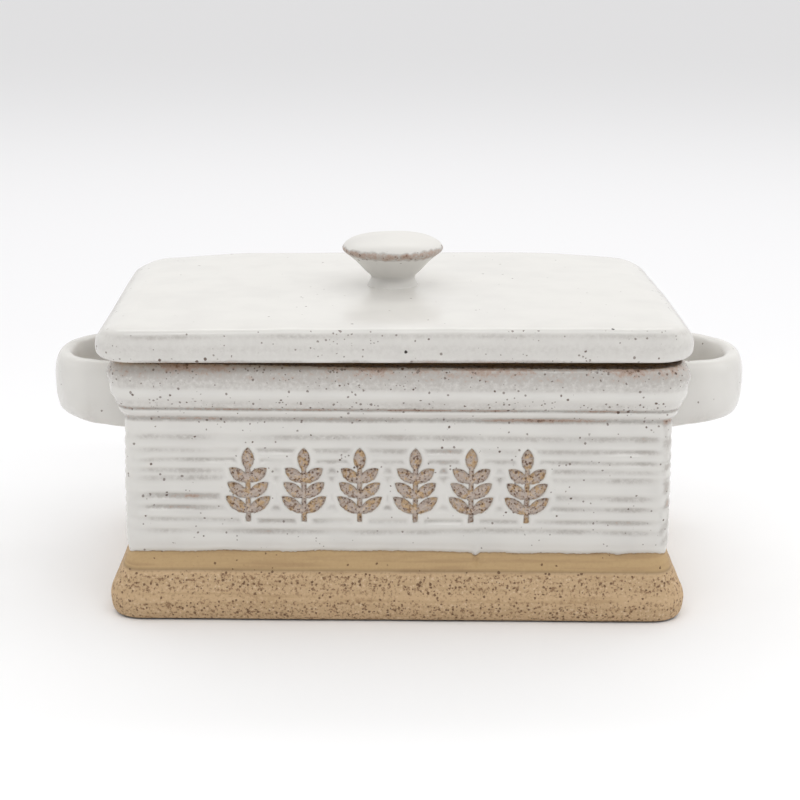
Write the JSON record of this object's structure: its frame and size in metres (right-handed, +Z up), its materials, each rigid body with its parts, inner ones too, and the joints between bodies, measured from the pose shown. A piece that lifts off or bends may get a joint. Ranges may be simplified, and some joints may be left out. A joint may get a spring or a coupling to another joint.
{
  "type": "butter crock",
  "caption": "Rectangular stoneware butter crock with a ribbed glazed wall, bare clay foot, strap handles and a loose slab lid with a flared knob.",
  "frame": {"origin": "on the standing surface, under the middle of the crock's foot", "axes": "+X along the crock's length towards the right handle, +Z up, and the stamped front faces -Y"},
  "size_m": [0.215, 0.1188, 0.1042],
  "materials": {
    "glaze": "off-white satin gloss glaze with iron speckles, breaking brown on edges",
    "raw_clay": "bare fired tan clay with dark iron specks"
  },
  "bodies": {
    "crock": {"crock_body": "glaze", "left_handle": "glaze", "right_handle": "glaze"},
    "lid": {"lid_slab": "glaze", "lid_flange": "raw_clay", "lid_knob": "glaze"}
  },
  "joints": [
    {"name": "lid_lift", "type": "slide", "parent": "crock", "child": "lid", "axis": [0, 0, 1], "range_m": [0, 0.06]}
  ]
}
